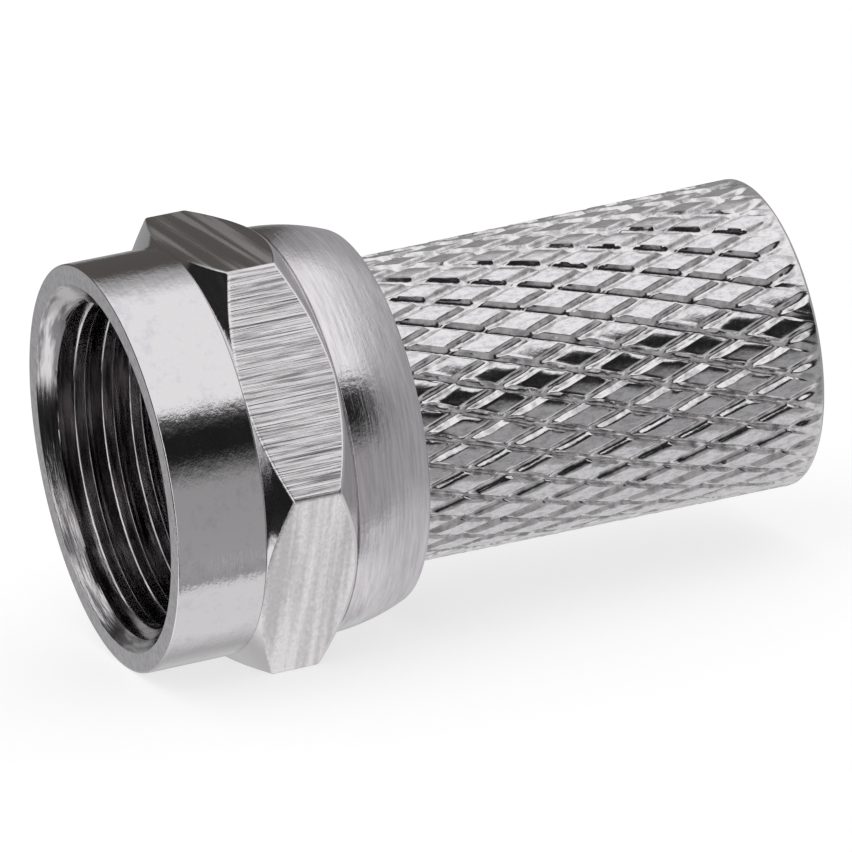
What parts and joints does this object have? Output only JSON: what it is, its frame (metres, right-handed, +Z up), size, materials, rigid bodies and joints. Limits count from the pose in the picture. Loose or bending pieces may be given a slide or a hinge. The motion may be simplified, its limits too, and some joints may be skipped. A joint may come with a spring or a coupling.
{
  "type": "screw-on f connector plug",
  "caption": "Screw-on coaxial plug: a hexagonal coupling nut with a rolled-in rear lip turns on a one-piece sleeve with a flared, diamond-knurled barrel.",
  "frame": {"origin": "on the axis, at the front face of the sleeve's flange, where the end of the mating socket seats", "axes": "+X along the axis towards the cable, so the nut's mouth faces -X; +Z up, square to one of the nut's flats; the plug lies on its side"},
  "size_m": [0.019, 0.0128, 0.011],
  "materials": {
    "nut_nickel": "bright nickel plate over turned and milled brass",
    "sleeve_nickel": "bright nickel plate over knurled brass"
  },
  "bodies": {
    "sleeve": {"sleeve": "sleeve_nickel"},
    "nut": {"coupling_nut": "nut_nickel"}
  },
  "joints": [
    {"name": "nut_spin", "type": "hinge", "parent": "sleeve", "child": "nut", "pos_m": [0, 0, 0], "axis": [1, 0, 0], "continuous": true}
  ]
}
